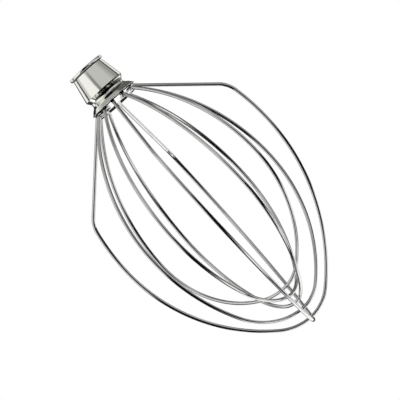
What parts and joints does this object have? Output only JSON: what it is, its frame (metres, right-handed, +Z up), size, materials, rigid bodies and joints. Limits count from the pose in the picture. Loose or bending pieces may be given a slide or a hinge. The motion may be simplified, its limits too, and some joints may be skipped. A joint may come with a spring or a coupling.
{
  "type": "stand mixer wire whisk",
  "caption": "Balloon whisk for a stand mixer: nested bent wire loops held in a conical metal hub with a bayonet shaft socket.",
  "frame": {"origin": "centre of the shaft bore at the hub's rim", "axes": "+Z up along the shaft bore, out of its mouth, with the wire loops hanging towards -Z; +X across the face loop; -Y towards the side of the bayonet slot and the notch that marks it"},
  "size_m": [0.1331, 0.1334, 0.2154],
  "materials": {
    "hub_steel": "polished",
    "sleeve_steel": "turned",
    "seat_steel": "satin",
    "wire_steel": "polished"
  },
  "bodies": {
    "root": {"hub_shell": "hub_steel", "shaft_sleeve": "sleeve_steel", "wire_seat": "seat_steel", "face_loop": "wire_steel", "edge_loop": "wire_steel", "inner_loop_1": "wire_steel", "inner_loop_2": "wire_steel", "inner_loop_3": "wire_steel", "inner_loop_4": "wire_steel"}
  },
  "joints": []
}
